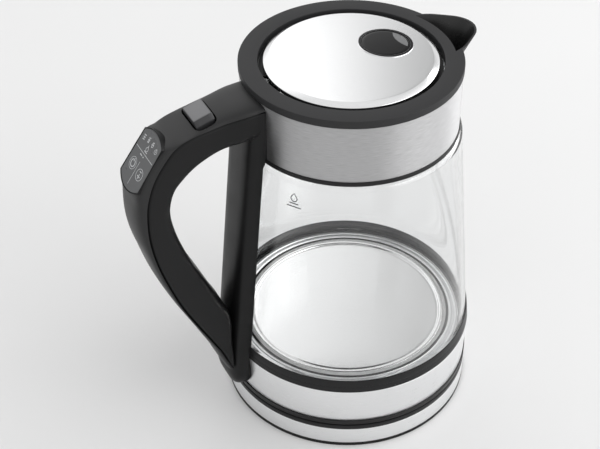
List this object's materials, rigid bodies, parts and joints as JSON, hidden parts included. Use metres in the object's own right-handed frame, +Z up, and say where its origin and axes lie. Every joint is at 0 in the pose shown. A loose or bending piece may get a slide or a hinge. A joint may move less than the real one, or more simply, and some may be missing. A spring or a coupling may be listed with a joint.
{
  "type": "electric kettle",
  "caption": "Cordless glass kettle with a hinged steel lid, a spout, a loop handle with a touch panel and a release button, and a round power base.",
  "frame": {"origin": "centre of the power base's underside, on the surface the kettle stands on", "axes": "+Z up along the jug's axis, +X towards the spout, the handle at -X"},
  "size_m": [0.2191, 0.1575, 0.239],
  "materials": {
    "black_plastic": "satin",
    "collar_plastic": "matte",
    "button_grey": "satin metallic",
    "panel_grey": "satin",
    "steel_brushed": "brushed round the body",
    "steel_satin": "satin",
    "trim_chrome": "bright",
    "glass": "clear",
    "lens": "gloss, smoked",
    "silicone_grey": "matte",
    "rubber_black": "matte",
    "spring_steel": "drawn wire",
    "brass": "bare",
    "aluminium": "cast",
    "white_plastic": "matte",
    "board_green": "solder mask",
    "brown_resin": "matte"
  },
  "bodies": {
    "power_base": {"base_bottom_cover": "black_plastic", "base_feet": "rubber_black", "base_shell": "black_plastic", "base_steel_band": "steel_satin", "base_screws": "spring_steel", "connector_tower": "black_plastic", "connector_contacts": "brass", "shutter_spring": "spring_steel", "cord_gland": "rubber_black", "cord_clamp": "black_plastic"},
    "shutter": {"connector_shutter": "white_plastic"},
    "jug": {"jug_bottom_cover": "black_plastic", "jug_bottom_screws": "spring_steel", "jug_connector": "white_plastic", "jug_contact_pins": "brass", "lower_housing": "black_plastic", "lower_steel_band": "steel_satin", "heating_plate": "steel_satin", "heat_spreader": "aluminium", "heating_element": "aluminium", "thermal_cutouts": "brown_resin", "temperature_sensor": "spring_steel", "control_board": "board_green", "plate_gasket": "silicone_grey", "glass_foot_ring": "black_plastic", "glass_body": "glass", "neck_ring": "black_plastic", "neck_gasket": "silicone_grey", "upper_steel_band": "steel_brushed", "collar": "collar_plastic", "spout_filter": "steel_satin", "hinge_pin": "spring_steel", "handle_liner": "black_plastic", "handle_shell": "black_plastic", "handle_cover": "black_plastic", "handle_bracket": "spring_steel", "handle_screws": "spring_steel", "handle_ribbon": "silicone_grey", "panel_bezel": "black_plastic", "touch_panel": "panel_grey", "panel_board": "board_green", "button_springs": "spring_steel", "latch_spring": "spring_steel"},
    "button": {"release_button": "button_grey"},
    "latch": {"latch_slider": "black_plastic"},
    "lid": {"lid_cap": "steel_satin", "lid_base": "black_plastic", "lid_inner_cover": "black_plastic", "lid_seal": "rubber_black", "lid_lens": "lens", "lid_lens_ring": "trim_chrome", "lid_spring": "spring_steel"}
  },
  "joints": [
    {"name": "base_swivel", "type": "hinge", "parent": "power_base", "child": "shutter", "pos_m": [0, 0, 0.022], "axis": [0, 0, 1], "continuous": true},
    {"name": "kettle_lift", "type": "slide", "parent": "shutter", "child": "jug", "axis": [0, 0, 1], "range_m": [0, 0.12]},
    {"name": "lid_hinge", "type": "hinge", "parent": "jug", "child": "lid", "pos_m": [-0.044, 0, 0.2332], "axis": [0, -1, 0], "range_deg": [0, 75]},
    {"name": "button_press", "type": "slide", "parent": "jug", "child": "button", "axis": [0.2588, 0, -0.9659], "range_m": [0, 0.002], "stiffness_N_per_m": 300, "springref_m": -0.002, "deforming": ["button_springs"]},
    {"name": "latch_slide", "type": "slide", "parent": "jug", "child": "latch", "axis": [-1, 0, 0], "range_m": [0, 0.0015], "stiffness_N_per_m": 100, "springref_m": -0.001, "deforming": ["latch_spring"]}
  ],
  "couplings": [
    {"joint": "latch_slide", "follows": "button_press", "ratio": 0.75}
  ]
}
